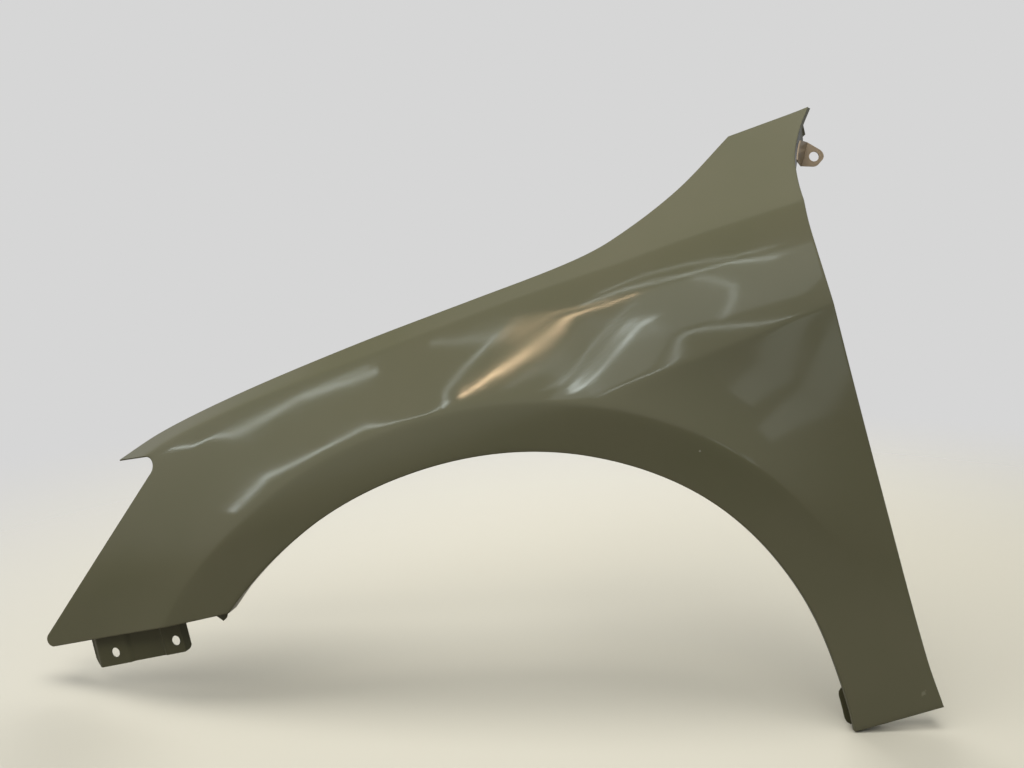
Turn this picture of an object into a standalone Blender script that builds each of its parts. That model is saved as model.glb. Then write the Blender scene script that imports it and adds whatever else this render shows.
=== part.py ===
"""Left front fender of a passenger car: one pressed steel skin and its welded brackets.

The shapes are written in the car's directions from the wheel centre: x runs rearward,
y inboard and z up. An empty then moves the whole part so that its origin is the middle
seat of the hood-side flange, where the fender is bolted down. Units are metres.
"""

import bpy
import bmesh
from math import atan2, cos, degrees, hypot, pi, radians, sin, sqrt, tan
from mathutils import Vector

# Sheet metal
SKIN_GAUGE = 0.0008
BRACKET_GAUGE = 0.0015
EDGE_BEND = 0.0015          # radius at which every edge flange turns in
WELD_GAP = 0.0003           # between a bracket and the sheet that it is welded to

# Wheel arch, seen from the side
ARCH_RADIUS = 0.3512        # from the wheel centre to the crown of the arch
ARCH_SWELL = (              # how far the opening grows past that radius, by angle
    (-8, 0.0066), (5, 0.0032), (20, 0.0062), (41, 0.0090), (64, 0.0048),
    (94, 0.0), (117, 0.0038), (129, 0.0086), (138, 0.0150),
)
BAND_WIDTH = 0.051          # flat band round the arch, at its crown
BAND_GROWTH = 0.010         # what the band gains towards its two ends
BAND_TURN_IN = 0.10         # slope of the band, inboard towards the opening
FLARE_RISE = 0.010          # how far the crease round the band stands out
FLARE_REACH = 0.095         # width over which that flare dies into the panel
FLARE_FADE = (8, 43)        # angles between which crease and flare come in, from the rear

# Outline, seen from the side
FRONT_BOTTOM = 0.250        # height of the lower edge in front of the wheel
FRONT_EDGE_ANGLE = radians(41.1)
FRONT_EDGE_BOW = 0.0032     # how far the front edge curves in, at its middle
CORNER_RADIUS = 0.0085      # front lower corner
NOTCH_CENTRE = (-0.341, 0.4275)
NOTCH_RADIUS = 0.0115
SPIKE_TIP = (-0.386, 0.4445)
COWL_END = (0.5345, 0.6540)  # where the cowl edge meets the door edge
COWL_RUN = (0.1065, 0.0116)  # length and rise of the cowl edge, from the cowl corner
SHOULDER_END = (0.458, 0.5315)
LEG_BOTTOM = -0.035         # height of the lower edge behind the wheel
SHOULDER_SHAPE = (          # crease from the notch to the door edge: shares of its run and rise
    (0.0300, 0.0824), (0.0826, 0.1868), (0.1840, 0.3297), (0.3367, 0.4725),
    (0.4731, 0.6099), (0.6020, 0.7308), (0.7134, 0.8077), (0.8473, 0.9176),
)
HOOD_SHAPE = (              # the same for the hood edge, from the spike to the cowl corner
    (0.0737, 0.0935), (0.2015, 0.1895), (0.3808, 0.2855), (0.5651, 0.3664),
    (0.7027, 0.4320), (0.7740, 0.5028), (0.8882, 0.7105),
)
SAIL_SHAPE = ((0.1420, 0.2600), (0.3360, 0.5100), (0.6560, 0.7760))  # and for its rear edge
DOOR_EDGE = (               # (z, x) from the bottom up to the shoulder
    (LEG_BOTTOM, 0.4550), (0.020, 0.4500), (0.166, 0.4470), (0.415, 0.4470),
    (0.492, 0.4510),
)
WAIST_START = (0.193, 0.379)  # crease that runs from the arch band to the door edge
WAIST_SLOPE = 0.132

# Depth of the panel, inboard from the crown of the arch
PLAN_START = 0.050          # the panel curves inboard in front of and behind this place
PLAN_FRONT = (0.500, 0.0865)  # over the first length it falls inboard by the second
PLAN_REAR = (0.400, 0.0089)
TUCK_START = 0.350          # below this height the panel tucks under
TUCK = (0.385, 0.0050)
LEAN_SLOPE = 0.15           # slope that the waist crease adds above itself
LEAN_RADIUS = 0.384         # curve of the side above the waist, in section
WAIST_SHARP = 0.003         # half width of the waist crease at the door edge
WAIST_SOFT = 0.040          # and where it dies out, over the wheel
WAIST_FADE = (0.060, 0.260)
TOP_SLOPE = 0.95            # top strip and sail, above the shoulder crease
TOP_SLOPE_GAIN = 0.55       # what that slope gains towards the spike
TOP_SLOPE_RUN = 0.300
CURL_RISE = 0.004           # outward curl along the rear edge of the sail
CURL_WIDTH = 0.026
CURL_HEIGHTS = (0.560, 0.630)

# Edge flanges, measured inboard
LEG_FLANGE = 0.006
ARCH_FLANGE = 0.012
ARCH_FLANGE_FADE = (10, 60)     # arch angles between which the one grows into the other
BUMPER_FLANGE = 0.026
BUMPER_FLANGE_FADE = (130, 136)  # arch angles where it takes over from the arch's
LAMP_FLANGE = 0.014
LAMP_FLANGE_RUN = 0.040         # height above the lower edge where it has taken over
NOTCH_FLANGE = 0.007
SPIKE_FLANGE = 0.003
FOOT_FLANGE = 0.020
FOOT_FLANGE_RUN = (0.002, 0.020)  # how far behind the arch edge it starts and is full
DOOR_FLANGE = 0.011
SAIL_FLANGE = 0.020
SAIL_FLANGE_HEIGHTS = (0.540, 0.580)
SAIL_FLANGE_LEAN = 0.84         # how far it leans rearward for its depth, at the cowl end
SAIL_LEAN_HEIGHTS = (0.520, 0.640)
SAIL_TIP_FLANGE = 0.005         # what is left of it at the cowl end
SAIL_TIP_RUN = (0.026, 0.046)   # distances below the cowl end over which it grows again

# Hood-side flange: a wall down from the hood edge and a ledge with bolt seats
WALL_HEIGHT = 0.024
WALL_LEAN = 0.002
HOOD_BEND = (0.0015, 0.0010)
LEDGE_WIDTH = 0.024
LEDGE_ENDS = (0.068, 0.0105)  # how far it stops short of the spike and of the cowl end
LEDGE_RUN_IN = 0.040        # the wall grows to its height over this length
WALL_START_HEIGHT = 0.007
SEATS = (-0.262, -0.120, 0.040, 0.200, 0.330, 0.464)
ORIGIN_SEAT_INDEX = 2       # the seat that is the part's origin
SEAT_HALF = 0.013
ORIGIN_SEAT_HALF = 0.034
HOLE_RADIUS = 0.0045
HOLE_SPREAD = 0.018         # the origin seat has a hole on either side of its middle

# Grid of the pressed skin: cells along each stretch
BAND_ROWS = 3
SIDE_ROWS = 11
TOP_ROWS = 8
CORNER_CELLS = 3
FRONT_CELLS = 10
NOTCH_CELLS = 3             # from the front edge to the notch's rear, and again to its top
SHOULDER_CELLS = 44
COWL_CELLS = 6
DOOR_UPPER_CELLS = 8
DOOR_LOWER_CELLS = 26
ANGLE_TO_NOTCH = 9          # arch degrees from its front end to the line that meets the notch
ANGLE_AT_SHOULDER = 72      # arch angle whose line meets the shoulder at the door edge
ANGLE_AT_WAIST = degrees(atan2(WAIST_START[1], WAIST_START[0]))
SEAM_RUN = 0.050            # the seam of side and top joins the crease this far behind the notch
SAIL_RUN = 0.120            # the top's grid lines lean over into the sail's edge over this
BORDER_BAND = 0.010         # border vertices this near to an outline lie on it
MITRE_LIMIT = 0.6           # keeps a flange's corner from running far out
SHARP_ANGLE = radians(22)

# Front lower bracket, bolted to the bumper support; its places run along the plate
FRONT_BRACKET_RUN = 0.128    # from its front end to its rear end, along x
FRONT_BRACKET_TO_ARCH = 0.0685  # from its rear end to the front end of the arch
FRONT_BRACKET_INSET = 0.010  # its front end, inboard of the skin's edge
FRONT_BRACKET_TURN = radians(14.9)
FRONT_BRACKET_HEIGHT = 0.036
FRONT_BRACKET_LEDGE = 0.012
FRONT_BRACKET_RETURN = 0.008
FRONT_BRACKET_STEP = 0.0025
FRONT_BRACKET_STEP_RUN = 0.006
FRONT_BRACKET_PADS = ((0.013, 0.047), (0.0985, 0.1290))
FRONT_BRACKET_CORNER = 0.006
FRONT_BRACKET_HOLE_RADIUS = 0.0056
FRONT_BRACKET_HOLE_DROP = 0.0215

# Rear upper bracket, bolted to the hinge pillar
PILLAR_LEG_DROP = (0.0705, 0.0440)  # its lower and upper edge, below the end of the cowl
PILLAR_LEG = 0.0288           # how far inboard of the sail's edge its bolt plate lies
PILLAR_LEG_START = 0.005
PILLAR_LEG_GAP = 0.0006       # wider, since the sail's flange curves under it
PILLAR_PLATE = ((0.0185, -0.0054), (0.0306, 0.0030), (0.0300, 0.0112))  # from its fold's foot
PILLAR_HOLE = (0.0186, 0.0073)
PILLAR_HOLE_RADIUS = 0.0060
PILLAR_CORNER = 0.0035
PILLAR_ROWS = 3

# Rear lower bracket, bolted to the sill
SILL_BRACKET_SHOWS = 0.0026  # how far it shows past the arch edge, over the wheel's side
SILL_BRACKET_INSET = (0.015, 0.013)  # from the door edge, and inboard of the skin
SILL_BRACKET_HEIGHT = 0.042
SILL_LEDGE_WIDTH = 0.008
SILL_BRACKET_CORNER = 0.008
SILL_HOLE_RADIUS = 0.0045

# Hooked tab that holds the arch liner: (ahead of the arch's front end, down) places
LINER_TAB = ((0.0182, 0.0), (0.0117, 0.0082), (0.0075, 0.0060), (0.0047, 0.0))
LINER_TAB_INSET = 0.012
LINER_TAB_LEDGE = 0.008
LINER_TAB_GAUGE = 0.0012

ROUND_STEPS = 20            # sides of a round hole
CORNER_STEPS = 3
CUTTER_REACH = 0.008
SEARCH_ROUNDS = 40


def smooth_step(value, low, high):
    """0 below low, 1 above high, and an even curve between them."""
    t = min(max((value - low) / (high - low), 0.0), 1.0)
    return t * t * (3.0 - 2.0 * t)


def smooth_ramp(value, half_width):
    """0 below zero and the value above it, rounded over about the half width."""
    return 0.5 * (value + sqrt(value * value + half_width * half_width))


def curve_value(knots, place):
    """Smooth curve through (place, value) knots, straight past its ends."""
    count = len(knots)

    def slope(i):
        low, high = max(i - 1, 0), min(i + 1, count - 1)
        return (knots[high][1] - knots[low][1]) / (knots[high][0] - knots[low][0])

    if place <= knots[0][0]:
        return knots[0][1] + slope(0) * (place - knots[0][0])
    if place >= knots[-1][0]:
        return knots[-1][1] + slope(count - 1) * (place - knots[-1][0])
    i = max(k for k in range(count - 1) if knots[k][0] <= place)
    (x0, y0), (x1, y1) = knots[i], knots[i + 1]
    length = x1 - x0
    t = (place - x0) / length
    return (y0 * (1 + 2 * t) * (1 - t) ** 2 + slope(i) * length * t * (1 - t) ** 2
            + y1 * t * t * (3 - 2 * t) - slope(i + 1) * length * t * t * (1 - t))


def shares(count):
    """0 to 1 in even steps, both ends included."""
    return [i / count for i in range(count + 1)]


def blend(start, end, t):
    return start + (end - start) * t


def curve_between(start, end, shape):
    """Knots from start to end; the shape gives those between them as shares of the span."""
    middle = [(blend(start[0], end[0], a), blend(start[1], end[1], b)) for a, b in shape]
    return (start, *middle, end)


def fall(run, rule):
    """A parabola that falls by rule[1] over the length rule[0]."""
    return rule[1] * (run / rule[0]) ** 2


# Lines of the panel, seen from the side

NOTCH_TOP = (NOTCH_CENTRE[0], NOTCH_CENTRE[1] + NOTCH_RADIUS + EDGE_BEND)
NOTCH_REAR = (NOTCH_CENTRE[0] + NOTCH_RADIUS + EDGE_BEND, NOTCH_CENTRE[1])
COWL_CORNER = (COWL_END[0] - COWL_RUN[0], COWL_END[1] - COWL_RUN[1])
SHOULDER_CREASE = curve_between(NOTCH_TOP, SHOULDER_END, SHOULDER_SHAPE)
HOOD_EDGE = curve_between(SPIKE_TIP, COWL_CORNER, HOOD_SHAPE)
SAIL_EDGE = curve_between(SHOULDER_END, COWL_END, SAIL_SHAPE)
REAR_EDGE = (*DOOR_EDGE, *((z, x) for x, z in SAIL_EDGE))


def arch_radius(angle):
    """Radius of the finished arch edge at an angle in degrees, 0 at the rear, 90 at the top."""
    return ARCH_RADIUS + curve_value(ARCH_SWELL, angle)


def crease_radius(angle):
    return arch_radius(angle) + BAND_WIDTH + BAND_GROWTH * cos(radians(angle)) ** 2


def shoulder(x):
    return curve_value(SHOULDER_CREASE, x)


def hood_edge(x):
    if x <= COWL_CORNER[0]:
        return curve_value(HOOD_EDGE, x)
    return COWL_CORNER[1] + (x - COWL_CORNER[0]) * COWL_RUN[1] / COWL_RUN[0]


def door_edge(z):
    return curve_value(REAR_EDGE, z)


def seam(x):
    """Where the grids of side and top meet: from the rear of the notch onto the crease."""
    start = NOTCH_REAR[0]
    off_crease = shoulder(start) - NOTCH_REAR[1]
    return shoulder(x) - off_crease * (1 - smooth_step(x, start, start + SEAM_RUN))


def waist(x):
    return WAIST_START[1] + WAIST_SLOPE * (x - WAIST_START[0])


def depth(x, z):
    """Distance of the outer surface inboard from the plane of the arch's crown."""
    along = x - PLAN_START
    plan = fall(along, PLAN_FRONT if along < 0 else PLAN_REAR)
    tuck = fall(max(TUCK_START - z, 0.0), TUCK)

    rise = min(z, shoulder(x)) - waist(x)
    half_width = blend(WAIST_SOFT, WAIST_SHARP, smooth_step(x, *WAIST_FADE))
    lean = LEAN_SLOPE * smooth_ramp(rise, half_width) + max(rise, 0.0) ** 2 / (2 * LEAN_RADIUS)

    angle = degrees(atan2(z, x))
    past_crease = hypot(x, z) - crease_radius(angle)
    strength = smooth_step(angle, *FLARE_FADE)
    flare = FLARE_RISE * max(1 - max(past_crease, 0.0) / FLARE_REACH, 0.0) ** 2
    band = BAND_TURN_IN * max(-past_crease, 0.0)

    over = max(z - shoulder(x), 0.0)
    top = over * (TOP_SLOPE + TOP_SLOPE_GAIN * smooth_step(-x, 0.0, TOP_SLOPE_RUN))
    to_edge = door_edge(z) - x
    curl = (CURL_RISE * smooth_step(z, *CURL_HEIGHTS)
            * max(1 - max(to_edge, 0.0) / CURL_WIDTH, 0.0) ** 2)
    return plan + tuck + lean + strength * (band - flare) + top - curl


def on_panel(x, z):
    return Vector((x, depth(x, z), z))


# Outline of the flat of the panel, which stops short of the finished edge by the bend

def angle_at_height(radius_at, height, behind):
    """Angle where a line round the arch comes down to a height, behind or ahead of the wheel."""
    angle = 0.0 if behind else 180.0
    for _ in range(SEARCH_ROUNDS):
        share = height / radius_at(angle)
        angle = degrees(atan2(share, sqrt(1 - share * share)))
        angle = angle if behind else 180.0 - angle
    return angle


def arch_end(height, behind):
    """x of the finished arch edge at one of its two ends."""
    angle = angle_at_height(arch_radius, height, behind)
    return arch_radius(angle) * cos(radians(angle))


def arch_line(radius_at, anchors):
    """Points round the arch; each anchor is (cells, angle), from front to rear."""
    points = []
    for (_, start), (cells, end) in zip(anchors, anchors[1:]):
        for t in shares(cells)[1 if points else 0:]:
            angle = blend(start, end, t)
            radius = radius_at(angle)
            points.append((radius * cos(radians(angle)), radius * sin(radians(angle))))
    return points


def arc(centre, radius, start, end, cells):
    return [(centre[0] + radius * cos(blend(start, end, t)),
             centre[1] + radius * sin(blend(start, end, t))) for t in shares(cells)]


def front_outline():
    """From the lower edge round the front corner, up the front edge and into the notch."""
    bottom = FRONT_BOTTOM + EDGE_BEND
    notch_start = FRONT_EDGE_ANGLE - pi / 2
    notch = arc(NOTCH_CENTRE, NOTCH_RADIUS + EDGE_BEND, notch_start, 0.0, NOTCH_CELLS)
    radius = CORNER_RADIUS - EDGE_BEND
    x_on_bottom = notch[0][0] - (notch[0][1] - bottom) / tan(FRONT_EDGE_ANGLE)
    centre = (x_on_bottom + radius / tan(FRONT_EDGE_ANGLE / 2), bottom + radius)
    corner = arc(centre, radius, -pi / 2, -1.5 * pi + FRONT_EDGE_ANGLE, CORNER_CELLS)
    corner[-1] = (centre[0] - radius * sin(FRONT_EDGE_ANGLE),
                  centre[1] + radius * cos(FRONT_EDGE_ANGLE))
    edge = []
    for t in shares(FRONT_CELLS):
        bow = 4 * FRONT_EDGE_BOW * t * (1 - t)
        edge.append((blend(corner[-1][0], notch[0][0], t) + bow * sin(FRONT_EDGE_ANGLE),
                     blend(corner[-1][1], notch[0][1], t) - bow * cos(FRONT_EDGE_ANGLE)))
    return corner + edge[1:] + notch[1:]


def even_line(start, end, line, cells):
    """Points on z = line(x), at even steps of x."""
    return [(blend(start, end, t), line(blend(start, end, t))) for t in shares(cells)]


def outer_line():
    """Upper and outer border of the side: front edge, seam and door edge."""
    points = front_outline()
    points += even_line(NOTCH_REAR[0], SHOULDER_END[0] - EDGE_BEND, seam, SHOULDER_CELLS)[1:]
    waist_z = waist(door_edge(WAIST_START[1]))
    foot = LEG_BOTTOM + EDGE_BEND
    for low, high, cells in ((points[-1][1], waist_z, DOOR_UPPER_CELLS),
                             (waist_z, foot, DOOR_LOWER_CELLS)):
        points += [(door_edge(z) - EDGE_BEND, z)
                   for z in (blend(low, high, t) for t in shares(cells)[1:])]
    return points


def arch_anchors(radius_at):
    front = angle_at_height(radius_at, FRONT_BOTTOM + EDGE_BEND, behind=False)
    rear = angle_at_height(radius_at, LEG_BOTTOM + EDGE_BEND, behind=True)
    return ((0, front), (CORNER_CELLS + FRONT_CELLS + NOTCH_CELLS, front - ANGLE_TO_NOTCH),
            (SHOULDER_CELLS, ANGLE_AT_SHOULDER), (DOOR_UPPER_CELLS, ANGLE_AT_WAIST),
            (DOOR_LOWER_CELLS, rear))


def side_rows():
    """Grid rows of the side, from the arch edge out to the outer line."""
    def edge_radius(angle):
        return arch_radius(angle) + EDGE_BEND

    edge = arch_line(edge_radius, arch_anchors(edge_radius))
    crease = arch_line(crease_radius, arch_anchors(crease_radius))
    outer = outer_line()
    rows = []
    for t in shares(BAND_ROWS):
        rows.append([(blend(a[0], b[0], t), blend(a[1], b[1], t)) for a, b in zip(edge, crease)])
    for t in shares(SIDE_ROWS)[1:]:
        rows.append([(blend(a[0], b[0], t), blend(a[1], b[1], t)) for a, b in zip(crease, outer)])
    return rows


def top_rows():
    """Grid rows of the top strip and sail, from the seam to the hood edge."""
    outer = outer_line()
    first = CORNER_CELLS + FRONT_CELLS + NOTCH_CELLS
    low = outer[first:first + SHOULDER_CELLS + 1]
    high = even_line(SPIKE_TIP[0], COWL_CORNER[0], hood_edge, SHOULDER_CELLS - COWL_CELLS)
    high += even_line(COWL_CORNER[0], COWL_END[0] - EDGE_BEND, hood_edge, COWL_CELLS)[1:]
    front = arc(NOTCH_CENTRE, NOTCH_RADIUS + EDGE_BEND, 0.0, pi / 2, NOTCH_CELLS)
    front += [(blend(NOTCH_TOP[0], SPIKE_TIP[0], t), blend(NOTCH_TOP[1], SPIKE_TIP[1], t))
              for t in shares(TOP_ROWS - NOTCH_CELLS)[1:]]
    rows = []
    for t, edge in zip(shares(TOP_ROWS), front):
        row = [(blend(a[0], b[0], t), blend(a[1], b[1], t)) for a, b in zip(low, high)]
        ahead, up = edge[0] - row[0][0], edge[1] - row[0][1]
        behind = door_edge(row[-1][1]) - EDGE_BEND - row[-1][0]
        shifted = []
        for (x, z), (place, _) in zip(row, low):
            at_notch = 1 - smooth_step(place, low[0][0], low[0][0] + SEAM_RUN)
            at_sail = smooth_step(place, low[-1][0] - SAIL_RUN, low[-1][0])
            shifted.append((x + at_notch * ahead + at_sail * behind, z + at_notch * up))
        rows.append(shifted)
    return rows


# Mesh building

def add_grid(bm, rows):
    """A square grid whose points are moved onto the rows; gives its vertices, row by row."""
    across, up = len(rows[0]) - 1, len(rows) - 1
    made = bmesh.ops.create_grid(bm, x_segments=across, y_segments=up, size=0.5)["verts"]
    grid = [[None] * (across + 1) for _ in rows]
    for vert in made:
        column = round((vert.co.x + 0.5) * across)
        row = round((vert.co.y + 0.5) * up)
        grid[row][column] = vert
    for row, points in zip(grid, rows):
        for vert, point in zip(row, points):
            vert.co = Vector(point) if len(point) == 3 else on_panel(*point)
    return grid


def chain_edges(bm, chain):
    return [bm.edges.get(pair) for pair in zip(chain, chain[1:])]


def extrude_chain(bm, chain, moves):
    """Draws the edges of a chain out by one row; each new vertex takes its own move."""
    made = bmesh.ops.extrude_edge_only(bm, edges=chain_edges(bm, chain))["geom"]
    fresh = {v for v in made if isinstance(v, bmesh.types.BMVert)}
    new_chain = []
    for vert, move in zip(chain, moves):
        twin = next(e.other_vert(vert) for e in vert.link_edges if e.other_vert(vert) in fresh)
        twin.co = vert.co + Vector(move)
        new_chain.append(twin)
    return new_chain


def outward(chain):
    """Direction away from the panel at each vertex of its border, seen from the side."""
    sides = []
    for a, b in zip(chain, chain[1:]):
        run = Vector((b.co.x - a.co.x, b.co.z - a.co.z)).normalized()
        sides.append(Vector((run.y, -run.x)))
    result = []
    for i in range(len(chain)):
        near = sides[max(i - 1, 0):i + 1] or sides[:1]
        mean = sum(near, Vector((0.0, 0.0))).normalized()
        reach = 1.0 / max(mean.dot(near[0]), MITRE_LIMIT)
        result.append(Vector((mean.x * reach, 0.0, mean.y * reach)))
    return result


def in_angle(vert):
    return degrees(atan2(vert.co.z, vert.co.x))


def edge_flange_depth(vert):
    """Depth of the border's flange at a vertex, by the stretch of border that it is on."""
    x, z, angle = vert.co.x, vert.co.z, in_angle(vert)
    if x > 0 and z < LEG_BOTTOM + BORDER_BAND:
        return blend(LEG_FLANGE, FOOT_FLANGE, smooth_step(x - arch_radius(angle), *FOOT_FLANGE_RUN))
    if x > door_edge(z) - BORDER_BAND:
        sail = blend(SAIL_TIP_FLANGE, SAIL_FLANGE, smooth_step(COWL_END[1] - z, *SAIL_TIP_RUN))
        return blend(DOOR_FLANGE, sail, smooth_step(z, *SAIL_FLANGE_HEIGHTS))
    if hypot(x, z) < arch_radius(angle) + BORDER_BAND:
        arch = blend(LEG_FLANGE, ARCH_FLANGE, smooth_step(angle, *ARCH_FLANGE_FADE))
        return blend(arch, BUMPER_FLANGE, smooth_step(angle, *BUMPER_FLANGE_FADE))
    if z < NOTCH_CENTRE[1] - NOTCH_RADIUS:
        above = z - FRONT_BOTTOM
        return blend(BUMPER_FLANGE, LAMP_FLANGE, smooth_step(above, 0.0, LAMP_FLANGE_RUN))
    return blend(NOTCH_FLANGE, SPIKE_FLANGE, smooth_step(-x, -NOTCH_CENTRE[0], -SPIKE_TIP[0]))


def sail_lean(z):
    """How far the sail's flange leans rearward for its depth."""
    return SAIL_FLANGE_LEAN * smooth_step(z, *SAIL_LEAN_HEIGHTS)


def flange_wall(vert):
    """Move from the bend to the flange's free edge; only the sail's flange leans."""
    inboard = edge_flange_depth(vert)
    at_rear = vert.co.x > door_edge(vert.co.z) - BORDER_BAND
    return Vector((sail_lean(vert.co.z) * inboard if at_rear else 0.0, inboard, 0.0))


def flange_moves(chain):
    """Moves of a border's two bend rows and of the wall behind them."""
    away = outward(chain)
    half = EDGE_BEND * sin(pi / 4)
    first = [d * half + Vector((0.0, EDGE_BEND - half, 0.0)) for d in away]
    second = [d * (EDGE_BEND - half) + Vector((0.0, half, 0.0)) for d in away]
    return first, second, [flange_wall(v) for v in chain]


def seat_middle(index):
    """A seat's place, moved to the middle of the grid cell that it falls in."""
    x, corner = SEATS[index], COWL_CORNER[0]
    if x < corner:
        start, step = SPIKE_TIP[0], (corner - SPIKE_TIP[0]) / (SHOULDER_CELLS - COWL_CELLS)
    else:
        start, step = corner, (COWL_END[0] - EDGE_BEND - corner) / COWL_CELLS
    return start + (int((x - start) / step) + 0.5) * step


def seat_height(index):
    return hood_edge(seat_middle(index)) - WALL_HEIGHT


def seat_reach(index):
    return ORIGIN_SEAT_HALF if index == ORIGIN_SEAT_INDEX else SEAT_HALF


def ledge_height(x):
    """Level at each bolt seat, and an even slope from one seat to the next."""
    for index in range(len(SEATS) - 1):
        flat_end = seat_middle(index) + seat_reach(index)
        next_flat = seat_middle(index + 1) - seat_reach(index + 1)
        if x <= flat_end:
            return seat_height(index)
        if x < next_flat:
            t = (x - flat_end) / (next_flat - flat_end)
            return blend(seat_height(index), seat_height(index + 1), t)
    return seat_height(len(SEATS) - 1)


def add_hood_flange(bm, chain):
    """Wall and ledge along the hood and cowl edges, with a relief at either end."""
    start, end = SPIKE_TIP[0] + LEDGE_ENDS[0], COWL_END[0] - LEDGE_ENDS[1]
    chain = [v for v in chain if start <= v.co.x <= end]
    bend = extrude_chain(bm, chain, [(0.0, HOOD_BEND[0], -HOOD_BEND[1])] * len(chain))
    moves = []
    for vert in bend:
        grown = smooth_step(vert.co.x, start, start + LEDGE_RUN_IN)
        level = blend(vert.co.z - WALL_START_HEIGHT, ledge_height(vert.co.x), grown)
        moves.append((0.0, WALL_LEAN, level - vert.co.z))
    foot = extrude_chain(bm, bend, moves)
    inner = extrude_chain(bm, foot, [(0.0, EDGE_BEND, 0.0)] * len(foot))
    extrude_chain(bm, inner, [(0.0, LEDGE_WIDTH - EDGE_BEND, 0.0)] * len(inner))


def seat_place(index):
    """Middle of a bolt seat, on the underside of the ledge."""
    x = seat_middle(index)
    y = depth(x, hood_edge(x)) + HOOD_BEND[0] + WALL_LEAN + LEDGE_WIDTH / 2
    return Vector((x, y, ledge_height(x) - SKIN_GAUGE))


def finish(bm, name, collection, material, parent, gauge, cutters):
    """Turns a one-sided sheet into a part: gauge, holes, material and smooth shading."""
    mesh = bpy.data.meshes.new(name)
    bm.to_mesh(mesh)
    bm.free()
    obj = bpy.data.objects.new(name, mesh)
    collection.objects.link(obj)
    obj.parent = parent
    mesh.materials.append(material)
    solid = obj.modifiers.new("gauge", "SOLIDIFY")
    solid.thickness = gauge
    solid.offset = -1.0
    solid.use_even_offset = False
    for cutter in cutters:
        cut = obj.modifiers.new("hole", "BOOLEAN")
        cut.operation = "DIFFERENCE"
        cut.solver = "EXACT"
        cut.object = cutter
    mesh.shade_smooth()
    mesh.set_sharp_from_angle(angle=SHARP_ANGLE)
    return obj


def turn_outward(bm, towards):
    """Makes the faces agree, with the first one looking towards the given direction."""
    bmesh.ops.recalc_face_normals(bm, faces=bm.faces)
    bm.faces.ensure_lookup_table()
    if bm.faces[0].normal.dot(Vector(towards)) < 0:
        bmesh.ops.reverse_faces(bm, faces=bm.faces)


def add_cutter(name, place, direction, radius, collection, parent):
    """A round cutter for one hole."""
    bm = bmesh.new()
    bmesh.ops.create_cone(bm, cap_ends=True, segments=ROUND_STEPS, radius1=radius,
                          radius2=radius, depth=2 * CUTTER_REACH)
    mesh = bpy.data.meshes.new(name)
    bm.to_mesh(mesh)
    bm.free()
    obj = bpy.data.objects.new(name, mesh)
    collection.objects.link(obj)
    obj.parent = parent
    obj.location = place
    obj.rotation_euler = Vector(direction).to_track_quat("Z", "Y").to_euler()
    obj.hide_render = True
    obj.display_type = "WIRE"
    return obj


# Parts

def build_skin(parts, cutters, material, frame):
    bm = bmesh.new()
    side = add_grid(bm, side_rows())
    top = add_grid(bm, top_rows())
    first = CORNER_CELLS + FRONT_CELLS + NOTCH_CELLS
    last = first + SHOULDER_CELLS
    bottom_front = [row[0] for row in side]
    arch = side[0]
    foot = [row[-1] for row in side]
    door = side[-1][last:]
    front = side[-1][:first + 1]
    bmesh.ops.weld_verts(bm, targetmap=dict(zip(top[0], side[-1][first:last + 1])))

    spike = [row[0] for row in top][1:-1]
    sail = [row[-1] for row in top][1:-1]
    border = (spike[::-1] + front[::-1] + bottom_front[::-1][1:] + arch[1:]
              + foot[1:] + door[::-1][1:] + sail)
    for moves in flange_moves(border):
        border = extrude_chain(bm, border, moves)
    add_hood_flange(bm, top[-1])
    turn_outward(bm, (0.0, -1.0, 0.0))

    holes = []
    for index in range(len(SEATS)):
        spread = HOLE_SPREAD if index == ORIGIN_SEAT_INDEX else 0.0
        for side_of_seat in ((-1, 1) if spread else (1,)):
            place = seat_place(index) + Vector((side_of_seat * spread, 0.0, 0.0))
            holes.append(add_cutter(f"seat_hole_{len(holes) + 1}", place, (0, 0, 1),
                                    HOLE_RADIUS, cutters, frame))
    return finish(bm, "fender_skin", parts, material, frame, SKIN_GAUGE, holes)


def add_sheet(bm, rows):
    """A plain folded sheet through rows of points."""
    return add_grid(bm, [[tuple(point) for point in row] for row in rows])


def round_corners(bm, verts, radius):
    bmesh.ops.bevel(bm, geom=verts, offset=radius, segments=CORNER_STEPS, profile=0.5,
                    affect="VERTICES", material=-1)


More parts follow.
